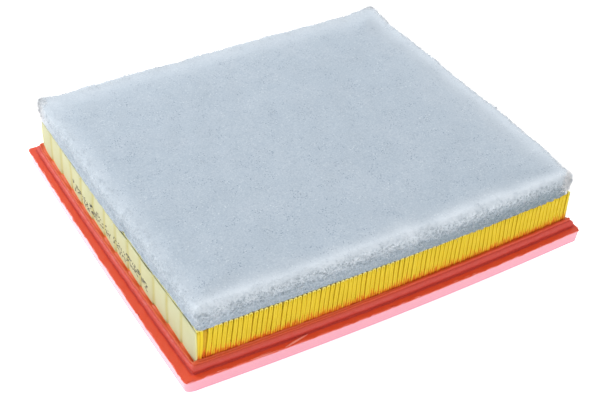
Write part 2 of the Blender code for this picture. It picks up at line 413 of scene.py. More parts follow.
def glue_material(name, color, deep, stained=False):
    """Hot melt or resin: smooth, waxy, with darker thick spots."""
    looks = Looks(name, color, 0.45)
    looks.patches(deep, 2.2, 0.35, 0.7, 0.6)
    if stained:
        looks.mark("inside", GLUED_PAPER, 0.8)
        foam_stain(looks, 0.6 * MM, 1.0)
    looks.rough(1.2, 0.38, 0.6)
    looks.bump(looks.noise(0.8, detail=2), 0.08, 0.5)
    return looks.done(0.2)


def fleece_material():
    """Thermally bonded polyester fleece: blue-grey and nearly smooth, flecked, and paler towards its rim,
    partly as a painted highlight, with painted light on its rear and right sides and painted shade low on its
    front.
    """
    looks = Looks("bonded_fleece", (0.367, 0.430, 0.496), 0.95)
    looks.patches((0.40, 0.458, 0.522), 30, 0.35, 0.7, 0.6)
    looks.patches((0.35, 0.415, 0.485), 6, 0.35, 0.7, 0.5)
    grain = looks.noise(1.0, detail=4, roughness=0.7)
    looks.blend(looks.span(grain, 0.28, 0.50, 0.6, 0.0), (0.25, 0.31, 0.38))
    looks.blend(looks.span(grain, 0.50, 0.72, 0.0, 0.6), (0.52, 0.58, 0.63))
    cluster = looks.span(looks.noise(8), 0.47, 0.62)
    fleck = looks.span(looks.cells(1.35), 0.14, 0.32, 1.0, 0.0)
    looks.blend(looks.product(cluster, looks.product(fleck, 0.9)), (0.13, 0.18, 0.25))
    pale_fleck = looks.span(looks.cells(1.9), 0.12, 0.26, 0.6, 0.0)
    looks.blend(looks.product(looks.span(looks.noise(11), 0.5, 0.62), pale_fleck), (0.60, 0.66, 0.70))
    # Paler towards the rim: partly thinner fleece, partly a painted highlight along the rounded shoulder.
    looks.mark("rim", (0.74, 0.79, 0.84))
    knots = looks.noise(1.25, roughness=0.65, distortion=0.6)
    looks.mark("side", (0.15, 0.20, 0.235), looks.span(knots, 0.54, 0.38, 0.0, 0.65))
    looks.mark("side", (0.62, 0.68, 0.72), looks.span(knots, 0.54, 0.70, 0.0, 0.6))
    looks.mark("shaded", (0.15, 0.20, 0.23))
    # Near-white on the rear and right sides: painted light over some real pale fluff.
    looks.mark("fluffy_and_lit", (0.94, 0.95, 0.97))
    looks.bump(grain, 0.25, 0.5)
    looks.bump(looks.noise(2.2), 0.2, 0.35)
    looks.set(Sheen_Weight=0.1, Sheen_Roughness=0.6)
    return looks.done(0.1)


def fibre_material(name, color, pale):
    """Single polyester fibres: paler than the mass of them, each catching a little light."""
    looks = Looks(name, color, 0.6)
    looks.patches(pale, 4, 0.35, 0.65, 1.0, detail=2)
    return looks.done(0.25)


def ink_material():
    """Thin black ink, uneven where the paper drinks it."""
    looks = Looks("ink", (0.035, 0.038, 0.032), 0.6)
    looks.patches((0.20, 0.19, 0.12), 0.9, 0.45, 0.75, 0.6)
    return looks.done()


def floor_material():
    looks = Looks("studio_floor", (0.90, 0.90, 0.90), 0.7)
    looks.patches((0.92, 0.92, 0.92), 400, 0.4, 0.6, 0.3, detail=2)
    looks.set(Emission_Color=(1.0, 1.0, 1.0, 1.0), Emission_Strength=0.5)
    return looks.done()


# ---------------------------------------------------------------- seal frame

SIDE_STEP = 2.0 * MM
CORNER_STEPS = 9


def frame_section():
    """The frame's section, once round: (reach, height) points, and the stretch each one belongs to."""
    skirt, flange, groove, top, lip = (
        length / MM for length in (SKIRT_REACH, FLANGE_REACH, GROOVE_REACH, FLANGE_TOP, LIP_TOP))
    stretches = [
        ("under", line((-3.0, 0.35), (-2.7, 0.0), 2)),
        ("under", line((-2.7, 0.0), (skirt - 0.8, 0.0), 7)),
        ("hem", arc((skirt - 0.8, 0.8), (0.8, 0.8), -90, -6, 5)),
        ("skirt", line((skirt + 0.05, 1.2), (flange - 0.42, top - 1.0), 9)),
        ("edge", arc((flange - 0.34, top - 0.36), (0.34, 0.34), -62, 84, 7)),
        ("flange", line((flange - 0.5, top), (groove + 0.7, top - 0.1), 9)),
        ("groove", line((groove + 0.5, top - 0.14), (groove - 0.1, top - 0.45), 3)),
        ("groove", line((groove - 0.25, top - 0.42), (groove - 0.42, top), 2)),
        ("bead", arc((1.8, top + 1.8), (2.1, 2.45), -40, 76, 14)),
        ("crease", line((1.86, lip - 1.66), (2.14, lip - 1.5), 1)),
        ("lip", line((2.14, lip - 1.3), (2.08, lip - 0.6), 3)),
        ("lip", arc((1.6, lip - 0.5), (0.5, 0.5), 0, 120, 7)),
        ("shelf", line((1.1, lip - 0.15), (-1.0, lip + 0.75), 7)),
        ("inside", line((-1.0, lip - 0.6), (-1.0, 3.2), 5)),
        ("inside", line((-1.2, 3.0), (-3.0, 2.9), 4)),
        ("inside", line((-3.0, 2.7), (-3.0, 0.35), 3)),
    ]
    names = np.concatenate([[name] * len(points) for name, points in stretches])
    return np.concatenate([points for _, points in stretches]) * MM, names


def frame_outline(reach, height):
    """Plan outline of the frame's section at one point, as an array of (x, y). Lower corners are rounder."""
    radius = 0.3 * MM + max(0.0, 0.24 * reach + 0.14 * max(FLANGE_TOP - height, 0.0))
    half = np.array([HALF_X + reach, HALF_Y + reach])
    steps = [int(2 * side / SIDE_STEP) for side in (HALF_Y, HALF_X)]
    corners = ((1, 1, 0.0), (-1, 1, 90.0), (-1, -1, 180.0), (1, -1, 270.0))
    arcs = []
    for sign_x, sign_y, start in corners:
        centre = np.array([sign_x, sign_y]) * (half - radius)
        arcs.append(arc(centre, (radius, radius), start, start + 90, CORNER_STEPS))
    outline = []
    for number, points in enumerate(arcs):
        following = arcs[(number + 1) % 4]
        outline.append(points)
        outline.append(line(points[-1], following[0], steps[(number + 1) % 2])[1:])
    return np.concatenate(outline)


def foam_line(y):
    """Height at which the foam ends on the outermost plies: it drops at each thread and climbs from there."""
    share = np.clip(y / HALF_Y, -1, 1)
    climbed = ((y + HALF_Y) / PANEL) % 1.0
    corner = ramp(-HALF_Y - y, -10, 0)
    return SIDE_LIP + (0.75 + 0.5 * share - 1.9 * (1 - climbed) ** 1.8 - 1.2 * corner) * MM


def build_frame(material):
    """The seal frame: skirt, flange with a torn flash edge, groove, bead, lip and foamed-in shelf."""
    section, names = frame_section()
    reach, level = section[:, :1], section[:, 1:]

    def on(*wanted):
        return np.isin(names, wanted)[:, None] * 1.0

    flat = np.array([frame_outline(*place) for place in section])
    points = np.concatenate([flat, np.broadcast_to(level[:, :, None], (*flat.shape[:2], 1))], -1)
    on_long_side = ramp(np.abs(flat[..., 1]) - HALF_Y, -2, 1)
    on_short_side = 1 - on_long_side

    tear = np.maximum(ripple(flat, 9, 11), -0.5) * 0.13 + np.abs(ripple(flat, 3.1, 12)) * 0.12
    tear -= 0.55 * smooth((ripple(flat, 6, 20) - 1.2) / 0.5)
    outside = np.sign(flat) * (np.abs(flat) > np.array([HALF_X, HALF_Y]) + 4 * MM)
    points[..., :2] += outside * ((on("edge") + on("flange") * 0.15) * tear * MM)[..., None]
    wobble = np.stack([ripple(points, 7, seed) for seed in (13, 14, 15)], -1)
    fine = np.stack([ripple(points, 2.2, seed) for seed in (16, 17, 18)], -1)
    rough = on("flange", "groove", "bead", "crease", "lip", "shelf")[..., None]
    points += rough * (0.06 * wobble + 0.025 * fine) * MM

    # On the left and right the foam stands lower, and its shelf follows the foam's line on the outermost ply
    above = np.maximum(points[..., 2] - FLANGE_TOP, 0)
    points[..., 2] -= on_short_side * above * (LIP_TOP - SIDE_LIP) / (LIP_TOP - FLANGE_TOP)
    climb = (foam_line(points[..., 1]) - SIDE_LIP - 0.2 * MM) * on_short_side
    foamed = on("shelf") * ramp(-reach, -1.3, 0.2)
    points[..., 2] += foamed * (climb + 0.10 * MM * ripple(points, 4, 19))

    # Towards the left of the front the foam ran over the lip: it is lower there, and orange like the shelf
    overrun = on_long_side * (flat[..., 1] < 0) * ramp(-flat[..., 0], -30, 50)
    at_lip = on("lip") + on("shelf") * np.clip(reach / (1.1 * MM), 0, 1)
    points[..., 2] -= 1.0 * MM * overrun * at_lip

    faces = tube_faces(*points.shape[:2], closed=True)
    piece = new_piece("seal_frame_foam", points.reshape(-1, 3), faces, material, "seal_frame", ["seal_frame"])
    soaked = np.maximum(0.6 * overrun, on_short_side)
    marks = {
        "bead": on("bead", "groove") * 0.85,
        # The skirt's pink is painted reflection of the floor's light on the red outer wall.
        "skirt": on("skirt", "hem") * 0.95,
        # Painted shade and reflection: a lavender-grey line along the skirt's lower edge, on the left only.
        "hem": on("hem") * 0.7 * (flat[..., 0] < -HALF_X - 3 * MM),
        "thin": on("edge") * 0.9 + on("flange") * 0.75 + on("lip") * 0.2,
        "shelf": on("shelf") * 0.9 + on("lip") * (0.2 + 0.65 * soaked) + on("crease") * 0.7 * soaked
                 + on("bead") * 0.25 * overrun * ramp(level - LIP_TOP, -3.0, -1.4),
    }
    for name, values in marks.items():
        store(piece, name, np.broadcast_to(values, flat.shape[:2]))


SLIVERS = [(0, -98.0, -79.5, 0.55, 0.2), (0, -96.5, -84.0, 0.32, -0.7), (0, -75.5, -60.0, 1.3, -3.2),
           (0, -117.0, -113.5, 0.5, 0.2)]        # side, start, end, width and outward drift, in millimetres


def build_flash(material):
    """Thin slivers of foam that squeezed out along the mould's parting line, at the flange's outer edge."""
    rng = np.random.default_rng(23)
    halves = (HALF_X, HALF_Y)
    slivers = list(SLIVERS)
    for side in range(4):
        for _ in range(7):
            start = rng.uniform(-0.96, 0.9) * halves[side % 2] / MM
            end = start + rng.uniform(1.5, 6.0)
            slivers.append((side, start, end, rng.uniform(0.25, 0.42), rng.uniform(-0.2, 0.3)))
    tubes = []
    share = np.linspace(0, 1, 12)
    angles = np.radians(np.arange(0, 360, 45))[:, None]
    for side, start, end, width, drift in slivers:
        along = np.linspace(start, end, 12) * MM
        aside = 0.12 * ripple(along, 3, rng.integers(999))        # one number for the whole sliver
        away = halves[1 - side % 2] + FLANGE_REACH + (drift * share - 0.5 + aside) * MM
        turn = side * math.pi / 2
        across = np.array([math.cos(turn), math.sin(turn), 0.0])
        outward = np.array([math.sin(turn), -math.cos(turn), 0.0])
        path = along[:, None] * across + away[:, None] * outward
        path[:, 2] = FLANGE_TOP - 0.05 * MM
        taper = np.sin(math.pi * np.clip(share, 0.04, 0.96)) ** 0.6 * width * MM / 2
        ring = np.cos(angles) * outward * 1.1 + np.sin(angles) * np.array([0, 0, 0.9])
        tubes.append(path[:, None, :] + ring * taper[:, None, None])
    piece = new_tubes("parting_flash", tubes, material, "seal_frame")
    store(piece, "flash", np.full(len(piece.data.vertices), 0.65))


def build_wicks(material):
    """Foam drawn up between the pleats' glued ends, front and rear, as one thin flame in each gap."""
    rng = np.random.default_rng(21)
    tubes, climbs = [], []
    angles = np.linspace(0, 2 * math.pi, 8, endpoint=False)
    share = np.linspace(0, 1, 7)
    narrow = np.clip(1 - share ** 2.2, 0.06, 1)[:, None]
    depth = 1.25 * MM * (1 - 0.6 * share[:, None])
    sunk = 0.9 * MM                     # how far below the lip's top a wick starts
    for side in (-1, 1):
        for gap in range(PLEAT_COUNT + 1):
            part = 0.5 if gap in (0, PLEAT_COUNT) else 1.0        # half a gap beside an outermost ply
            height = rng.uniform(2.4, 4.2) + rng.exponential(1.5)
            height = min(height, 8.5) * part * MM
            width = (HALF_END - SHEET / 2 + 0.05 * MM) * part
            levels = LIP_TOP - sunk + share * (height + sunk)
            rise = rise_of(levels)
            left = ply_lines(max(gap - 1, 0), rise, side * HALF_Y)[0 if gap == 0 else 1]
            right = ply_lines(min(gap, PLEAT_COUNT - 1), rise, side * HALF_Y)[1 if gap == PLEAT_COUNT else 0]
            rings = np.zeros((7, 8, 3))
            rings[..., 0] = (left + right)[:, None] / 2 + np.cos(angles) * width * narrow
            rings[..., 1] = side * (HALF_Y - 1.0 * MM) + np.sin(angles) * depth
            rings[..., 2] = levels[:, None]
            tubes.append(rings)
            climbs.append(np.repeat(share, 8))
    piece = new_tubes("foam_wicks", tubes, material, "seal_frame")
    store(piece, "wick", np.concatenate(climbs))


# ---------------------------------------------------------------- pleated paper

PLY_STEPS = 6
CREST_STEPS = 5
VALLEY_STEPS = 3
END_COAT = 0.34 * MM                # glue on a ply's cut edge, over its thickness
PLEAT_RNG = np.random.default_rng(31)
PLEAT_LEAN = PLEAT_RNG.normal(0, 0.15, PLEAT_COUNT) * MM
PLEAT_ENDS = PLEAT_RNG.uniform(-0.16, 0.16, (2, PLEAT_COUNT)) * MM
RIGHT_LEAN = 0.3 * MM               # how far the pleats' tops lean to the right at the right end
LEFT_LEAN = 3.4 * MM                # and how much further at the left end


def rise_of(height):
    """A height as a share of the way from the lower folds to the upper ones."""
    return (height - SHEET_LOW) / (SHEET_HIGH - SHEET_LOW)


def pinch(y):
    """1 at a pleat's glued end and 0 well inside the pack."""
    return 1 - ramp(HALF_Y - np.abs(y), 0, 8)


def half_pleat(share, y):
    """Half the centreline width of a pleat, at a share of its height, from foot to crest."""
    inside = HALF_FOOT + (HALF_CREST - HALF_FOOT) * share
    return inside + (HALF_END - inside) * pinch(y)


def pleat_shift(centre, share, y, lean):
    """How far a pleat stands off its straight place, along X."""
    place = np.stack(np.broadcast_arrays(centre, y, share * 30 * MM), -1)
    drift = 0.30 * MM * ripple(place, 42, 33) + 0.09 * MM * ripple(place, 13, 34)
    return drift * share + lean * share ** 1.5


def crowding(x):
    """How far a pleat's top leans to the right: most at the left end, where the pack met its stop."""
    share = np.clip((x + HALF_X) / (2 * HALF_X), 0, 1)
    return LEFT_LEAN * (1 - share) ** 1.3 + RIGHT_LEAN


def ply_lines(index, share, y):
    """Centreline x of a pleat's two plies, at shares of its height."""
    centre = -HALF_X + (index + 0.5) * PITCH
    share = np.asarray(share, float)
    shift = pleat_shift(np.full_like(share, centre), share, np.full_like(share, y), PLEAT_LEAN[index])
    half, crowd = half_pleat(share, y), crowding(centre) * share
    left = centre - half + shift + (0 if index == 0 else crowd)
    right = centre + half + shift + (0 if index == PLEAT_COUNT - 1 else crowd * (0.3 if index == 0 else 1))
    return left, right


def pleat_levels(y):
    """Heights at which a pleat's straight sides leave the lower fold and meet the upper one."""
    return SHEET_LOW + (PITCH / 2 - half_pleat(0.0, y)), SHEET_HIGH - half_pleat(1.0, y)


def fold_round(start, end, y, level, rise, angles):
    """Points of a half-round fold between two plies, upwards or downwards from their ends."""
    middle, half = (start + end) / 2, (end - start) / 2
    return in_plane(middle - half * np.cos(angles), y, level + rise * np.sin(angles))


def sheet_line(station):
    """The folded sheet's centreline at one share of the folds' length, where each pleat has its own end."""
    points = []
    up = np.linspace(0, 1, PLY_STEPS)
    crest, valley = (np.radians(np.linspace(0, 180, count + 2)[1:-1])
                     for count in (CREST_STEPS, VALLEY_STEPS))
    for index in range(PLEAT_COUNT):
        front, rear = -HALF_Y + PLEAT_ENDS[0, index], HALF_Y + PLEAT_ENDS[1, index]
        y = front + (rear - front) * station
        base, crown = pleat_levels(y)
        left, right = ply_lines(index, up, y)
        heights = base + up * (crown - base)
        if index > 0:
            points.append(in_plane(left, y, heights))
        points.append(fold_round(left[-1], right[-1], y, crown, SHEET_HIGH - crown, crest))
        if index < PLEAT_COUNT - 1:
            points.append(in_plane(right, y, heights)[::-1])
            following = ply_lines(index + 1, up, y)[0]
            points.append(fold_round(right[0], following[0], y, base, SHEET_LOW - base, valley))
    return np.concatenate(points)


def thickened(path, thickness):
    """A closed ring round an open path, thickened within its own XZ plane."""
    across = path_normals(path) * thickness / 2
    return np.concatenate([path + across, (path - across)[::-1]])


def new_ribbon(name, rings, material, replaces=()):
    """A thickened sheet: rings of points, with strips that close its two ends."""
    ring_count, point_count = rings.shape[:2]
    faces = tube_faces(ring_count, point_count)[:-2]
    last = (ring_count - 1) * point_count
    for i in range(point_count // 2 - 1):
        j = point_count - 1 - i
        faces.append((i + 1, i, j, j - 1))
        faces.append((last + i, last + i + 1, last + j - 1, last + j))
    return new_piece(name, rings.reshape(-1, 3), faces, material, "filter_paper", replaces)


def pack_stations():
    """Places along a fold, as shares of its length, closer together at its ends."""
    near = np.array([0.0, 0.25, 0.9, 2.2, 4.2, 6.5, 9.5]) * MM / (2 * HALF_Y)
    middle = np.linspace(near[-1], 1 - near[-1], 12)[1:-1]
    return np.concatenate([near, middle, 1 - near[::-1]])


def build_pleats(material):
    """The folded sheet, all but its two outermost plies. Glue thickens the plies at their cut edges."""
    rings = []
    for station in pack_stations():
        inset = min(station, 1 - station) * 2 * HALF_Y
        coat = END_COAT * (1 - ramp(inset, 0, 2.5)) * (0.55 if inset == 0 else 1.0)
        rings.append(thickened(sheet_line(station), SHEET + coat))
    rings = np.array(rings)
    piece = new_ribbon("pleated_paper", rings, material, ["pleated_media"])
    store(piece, "glued", smooth(1.6 * pinch(rings[..., 1])))
    store(piece, "soaked", ramp(np.abs(rings[..., 1]) - HALF_Y, -9, -3))


def side_ply_surface(side, share, y):
    """Centreline x of an outermost ply: it bulges a little between the glue threads."""
    share, y = np.broadcast_arrays(share, y)
    index = 0 if side < 0 else PLEAT_COUNT - 1
    centre = side * (HALF_X - PITCH / 2)
    shift = pleat_shift(centre, share, y, PLEAT_LEAN[index])
    phase = (y + HALF_Y) / PANEL
    place = np.stack([np.floor(phase), share * 0.7], -1)
    bulge = np.sin(math.pi * (phase % 1.0)) ** 0.7
    bulge *= np.sin(math.pi * np.clip(share * 1.1 - 0.25, 0, 1)) ** 0.6
    swell = (0.52 + 0.16 * ripple(place, 2300, 35 + index)) * MM
    edge = 1 - pinch(y) * 0.8
    return centre + side * half_pleat(share, y) + shift + side * bulge * swell * edge


def build_side_ply(side, name, material):
    """The outermost ply on the left or the right, which stays in view above the frame."""
    front = np.array([0.0, 0.4, 1.2]) * MM
    inner = np.linspace(3 * MM, 2 * HALF_Y - 3 * MM, (THREAD_COUNT + 1) * 10)
    stations = -HALF_Y + np.concatenate([front, inner, 2 * HALF_Y - front[::-1]])
    share = np.concatenate([[0.0, 0.15], np.linspace(0.28, 0.5, 10), np.linspace(0.56, 1, 8)])
    rings = []
    for y in stations:
        base, crown = pleat_levels(y)
        path = in_plane(side_ply_surface(side, share, y), y, base + share * (crown - base))
        rings.append(thickened(path if side < 0 else path[::-1], SHEET))
    rings = np.array(rings)
    piece = new_ribbon(name, rings, material)
    y, z = rings[..., 1], rings[..., 2]
    above = z - foam_line(y)
    offset = (y + HALF_Y + PANEL / 2) % PANEL - PANEL / 2
    at_thread = np.abs(y) < HALF_Y - PANEL / 2
    store(piece, "glued", 0.8 * (1 - ramp(HALF_Y - np.abs(y), 0, 1.2)))
    store(piece, "foamed", 1 - ramp(above, 0.2, 1.3))
    # Darker along each thread: partly glue soak, partly painted shade in the dip between the panels.
    store(piece, "line", at_thread * bell(offset, 1.6))
    # Painted shade in the hollow at each thread's foot, just above the foam line.
    store(piece, "pit_shade", at_thread * bell(offset, 0.8) * bell(above - 1.3 * MM, 1.2))


# ---------------------------------------------------------------- glue

CORNERS = np.radians(np.arange(0, 360, 45) + 22.5)


def glue_fill(middle, half, end, side, recess, heights):
    """A plug of glue between two plies: rings over its height, its face a little in from their edges."""
    rings = np.zeros((len(heights), len(CORNERS), 3))
    rings[..., 0] = middle[:, None] + np.clip(np.cos(CORNERS) * 1.4, -1, 1) * half[:, None]
    inward = np.clip(np.sin(CORNERS) * 1.4, -1, 1) / 2 + 0.5
    rings[..., 1] = end - side * (recess[:, None] + (GLUED_DEPTH - recess[:, None]) * inward)
    rings[..., 2] = heights[:, None]
    return rings


def build_edge_glue(side, name, material, replaces):
    """The glue that closes the pack's end: a plug inside each pleat, and one between it and the next."""
    rng = np.random.default_rng(41 + side)
    tubes, inside = [], []
    share = np.linspace(0, 1, 12)
    rounding = np.where(from_ends(len(share)) == 0, 0.4 * MM, 0)
    for index in range(PLEAT_COUNT):
        end = side * HALF_Y + PLEAT_ENDS[0 if side < 0 else 1, index]
        base, crown = pleat_levels(end)
        for between in (False, True):
            if between and index == PLEAT_COUNT - 1:
                continue
            low, high = (rng.uniform(0.44, 0.55), rng.uniform(0.80, 0.93)) if between else (0.06, 0.99)
            if between and index == 0:
                low, high = 0.3, 0.97
            span = low + share * (high - low)
            left, right = ply_lines(index, span, end)
            if between:
                left, right = right, ply_lines(index + 1, span, end)[0]
            half = (right - left) / 2 - SHEET / 2 + 0.04 * MM
            middle = (left + right) / 2
            place = in_plane(middle, end, span * 32 * MM)
            depth, uneven = (0.42 + 0.5 * span ** 2, 0.14) if between else (0.0, 0.05)
            recess = (depth + uneven * ripple(place, 26, 47) + rng.uniform(-0.05, 0.05, len(share))) * MM
            recess = np.clip(recess, 0.0, 1.0 * MM) + rounding
            tubes.append(glue_fill(middle, half, end, side, recess, base + span * (crown - base)))
            inside.append(np.full(len(share) * len(CORNERS), 1.0 - between))
    piece = new_tubes(name, tubes, material, "edge_glue", [replaces])
    store(piece, "inside", np.concatenate(inside))


def strand(path, widths, heights, sides=8):
    """Rings round a path in an XZ plane: wide along Y, flat across."""
    angles = np.linspace(0, 2 * math.pi, sides, endpoint=False)[None, :, None]
    across = widths[:, None, None] / 2 * np.array([0.0, 1.0, 0.0])
    up = heights[:, None, None] / 2 * path_normals(path)[:, None, :]
    return path[:, None, :] + np.cos(angles) * across + np.sin(angles) * up


def over_folds(x, clearance, sag):
    """Heights of a strand so many millimetres over the upper folds, which it follows a little."""
    wave = np.cos(2 * math.pi * (x + HALF_X - PITCH / 2) / PITCH)
    return SHEET_HIGH + SHEET / 2 + (clearance + sag * wave) * MM


def build_thread(number, y, material):
    """A glue thread over all the upper folds, with an end down each outermost ply."""
    rng = np.random.default_rng(50 + number)
    foot = foam_line(y - 0.5 * MM) - 0.3 * MM
    height = foot + np.linspace(0, 1, 14) * (SHEET_HIGH - 0.6 * MM - foot)
    left, right = (side_ply_surface(side, rise_of(height), y) + side * 0.16 * MM for side in (-1, 1))
    over = np.linspace(left[-1] + 1.1 * MM, right[-1] - 1.1 * MM, PLEAT_COUNT * 4)
    path = np.concatenate([in_plane(left, y, height), in_plane(over, y, over_folds(over, 0.22, 0.16)),
                           in_plane(right, y, height)[::-1]])
    path[:, 1] += 0.12 * MM * ripple(path, 17, 60 + number)
    widths = (1.15 + 0.18 * ripple(path, 6, 80 + number)) * MM
    heights = (0.44 + 0.06 * ripple(path, 5, 100 + number)) * MM
    ends = from_ends(len(path))
    widths *= np.clip(0.45 + ends / 3, 0, 1) * (1 + 0.25 * (ends < 3) * rng.uniform(0, 1))
    new_tubes(f"glue_thread_{number:02d}", [strand(path, widths, heights)], material, "glue_thread",
              [f"spacer_thread_{number:02d}"])


def build_bond(number, material):
    """A flat glue line on the folds that holds the fleece."""
    node = f"fleece_bond_{number}"
    low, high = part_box(node)
    x = np.linspace(low.x, high.x, PLEAT_COUNT * 4)
    path = in_plane(x, (low.y + high.y) / 2, over_folds(x, 0.18, 0.14))
    widths = (high.y - low.y) * (0.86 + 0.07 * ripple(path, 9, 120 + number))
    widths *= np.clip(0.4 + from_ends(len(x)) / 5, 0, 1)
    heights = np.full_like(x, high.z - low.z) * 0.8
    new_tubes(f"bond_line_{number}", [strand(path, widths, heights, 10)], material, "glue_thread", [node])


# ---------------------------------------------------------------- printed marks

MARKS_FROM, MARKS_TO = 55 * MM, -52 * MM        # the run of marks, from rear to front
MARKS_LEVEL = 21.0 * MM
MARK_ANGLES = [0.0, 0.5, 1.1, 2.0, 2.7]


def build_marks(material):
    """Plain ticks and dashes in no particular order, jetted in ink on the left ply."""
    rng = np.random.default_rng(61)
    angles = np.linspace(0, 2 * math.pi, 8, endpoint=False)
    tubes = []
    y = MARKS_FROM
    while y > MARKS_TO:
        for _ in range(rng.integers(2, 5)):
            centre = np.array([y, MARKS_LEVEL + rng.uniform(-3.2, 3.2) * MM])
            angle = rng.choice(MARK_ANGLES) + rng.normal(0, 0.12)
            along = np.array([math.cos(angle), math.sin(angle)]) * rng.uniform(0.3, 1.7) * MM
            across = np.array([-math.sin(angle), math.cos(angle)]) * rng.uniform(0.30, 0.46) * MM
            flat = centre + np.cos(angles)[:, None] * along + np.sin(angles)[:, None] * across
            x = side_ply_surface(-1, rise_of(flat[:, 1]), flat[:, 0]) - SHEET / 2
            tubes.append(np.stack([np.column_stack([x + out * MM, flat]) for out in (0.05, -0.07)]))
        y -= rng.uniform(1.1, 2.4) * MM + (3.5 * MM if rng.random() < 0.07 else 0)
    new_tubes("ink_marks", tubes, material, "filter_paper", smooth_shading=False)


# ---------------------------------------------------------------- fleece pad

SWELL_CAP = 1.4 * MM                # the most that a point may swell
START_INSET = 0.8 * MM              # the pad starts this much smaller
PAD_FRAMES = 20
CLOTH = {"quality": 5, "mass": 0.2, "tension_stiffness": 12, "compression_stiffness": 12,
         "bending_stiffness": 2, "vertex_group_mass": "held", "use_pressure": True,
         "uniform_pressure_force": 4.0}
PAD_RIM = 4.2 * MM                  # radius of the upper rim, front and left
PAD_RIM_REAR = 1.5 * MM             # and rear and right
PAD_CORNER = 2.6 * MM               # radius of the upright corners
PAD_STEP = 1.5 * MM
WALL_LEVELS = 13
CRUST = 0.6 * MM                    # how far the felted upper part of the sides stands off the lower part
PAD_HALF = np.array([HALF_X, HALF_Y]) - START_INSET
PAD_TOP = PAD_HIGH.z - START_INSET
PAD_BASE = PAD_LOW.z - 0.2 * MM
LIFT_Y = -18 * MM                   # where the pad's left edge starts to lift off the paper


def face_steps(half):
    """Places across the pad's face along one axis, closer together over its rounded rim."""
    inset = PAD_RIM * (1 - np.cos(np.radians(np.linspace(0, 90, 8))))
    inner = half - PAD_RIM
    middle = np.linspace(-inner, inner, int(2 * inner / PAD_STEP))[1:-1]
    return np.concatenate([inset - half, middle, (half - inset)[::-1]])


def rounded_plan(flat, inset):
    """Plan points of rectangles, each one's corners rounded, less so further inside."""
    radius = np.clip(PAD_CORNER - inset, 0.0, None)[..., None]
    inner = np.maximum(PAD_HALF - inset[..., None] - radius, 0)
    kept = np.clip(flat, -inner, inner)
    away = flat - kept
    length = np.linalg.norm(away, axis=-1, keepdims=True)
    both = np.all(np.abs(away) > 1e-9, axis=-1, keepdims=True)
    return np.where(both, kept + away / np.maximum(length, 1e-9) * radius, flat)


def pad_mesh():
    """Points and faces of the plain pad: a face with a rounded rim, upright sides and an underside."""
    xs, ys = face_steps(PAD_HALF[0]), face_steps(PAD_HALF[1])
    flat = np.stack(np.meshgrid(xs, ys, indexing="ij"), -1)
    inset = (PAD_HALF - np.abs(flat)).min(-1)
    plan = rounded_plan(flat, inset)
    towards_rear = (flat / PAD_HALF).sum(-1) / 2
    rim = PAD_RIM_REAR + (PAD_RIM - PAD_RIM_REAR) * smooth((0.35 - towards_rear) / 0.7)
    top = PAD_TOP - rim + np.sqrt(rim ** 2 - np.clip(rim - inset, 0, None) ** 2)
    nx, ny = len(xs), len(ys)
    index = np.arange(nx * ny).reshape(nx, ny)
    loop = np.concatenate([index[:-1, 0], index[-1, :-1], index[:0:-1, -1], index[0, :0:-1]])
    around = plan.reshape(-1, 2)[loop]
    levels = np.linspace(0, 1, WALL_LEVELS + 1)[1:-1]
    edge = top.ravel()[loop]
    walls = [np.column_stack([around, edge + (PAD_BASE - edge) * level]) for level in levels]
    points = np.concatenate([np.concatenate([plan, top[..., None]], -1).reshape(-1, 3), *walls,
                             np.concatenate([plan, np.full((nx, ny, 1), PAD_BASE)], -1).reshape(-1, 3)])
    under = nx * ny + len(levels) * len(loop)
    rows = [loop] + [nx * ny + number * len(loop) + np.arange(len(loop)) for number in range(len(levels))]
    rows.append(under + loop)
    grid = np.stack([index[:-1, :-1], index[1:, :-1], index[1:, 1:], index[:-1, 1:]], -1).reshape(-1, 4)
    sides = [np.stack([upper, lower, np.roll(lower, -1), np.roll(upper, -1)], -1)
             for upper, lower in zip(rows[:-1], rows[1:])]
    return points, np.concatenate([grid, *sides, under + grid[:, ::-1]]).tolist()


def apply_modifiers(obj):
    graph = bpy.context.evaluated_depsgraph_get()
    mesh = bpy.data.meshes.new_from_object(obj.evaluated_get(graph), depsgraph=graph)
    obj.modifiers.clear()
    obj.data = mesh


def mesh_values(mesh, name):
    values = np.empty(len(mesh.vertices) * 3)
    mesh.vertices.foreach_get(name, values)
    return values.reshape(-1, 3)


def swelling():
    """Cloth simulation on an evenly meshed copy of the pad: pressure fills it while its underside is held.

    Returns the copy's points and how far each one moved."""
    copy = bpy.data.objects.new("swelling_pad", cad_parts["prefilter_fleece"].data.copy())
    bpy.context.scene.collection.objects.link(copy)
    even = copy.modifiers.new("even mesh", "REMESH")
    even.mode = "VOXEL"
    even.voxel_size = 5 * MM
    apply_modifiers(copy)
    start = mesh_values(copy.data, "co")
    held = copy.vertex_groups.new(name="held")
    held.add([int(i) for i in np.flatnonzero(start[:, 2] < PAD_LOW.z + 2.5 * MM)], 1.0, "REPLACE")
    cloth = copy.modifiers.new("cloth", "CLOTH")
    for name, value in CLOTH.items():
        setattr(cloth.settings, name, value)
    cloth.settings.effector_weights.gravity = 0.0
    cloth.point_cache.frame_start = 1
    cloth.point_cache.frame_end = PAD_FRAMES
    for number in range(1, PAD_FRAMES + 1):
        bpy.context.scene.frame_set(number)
    apply_modifiers(copy)
    bpy.context.scene.frame_set(1)
    moved = mesh_values(copy.data, "co") - start
    bpy.data.objects.remove(copy)
    distance = np.linalg.norm(moved, axis=1)[:, None]
    return start, moved * SWELL_CAP * np.tanh(distance / SWELL_CAP) / np.maximum(distance, 1e-9)


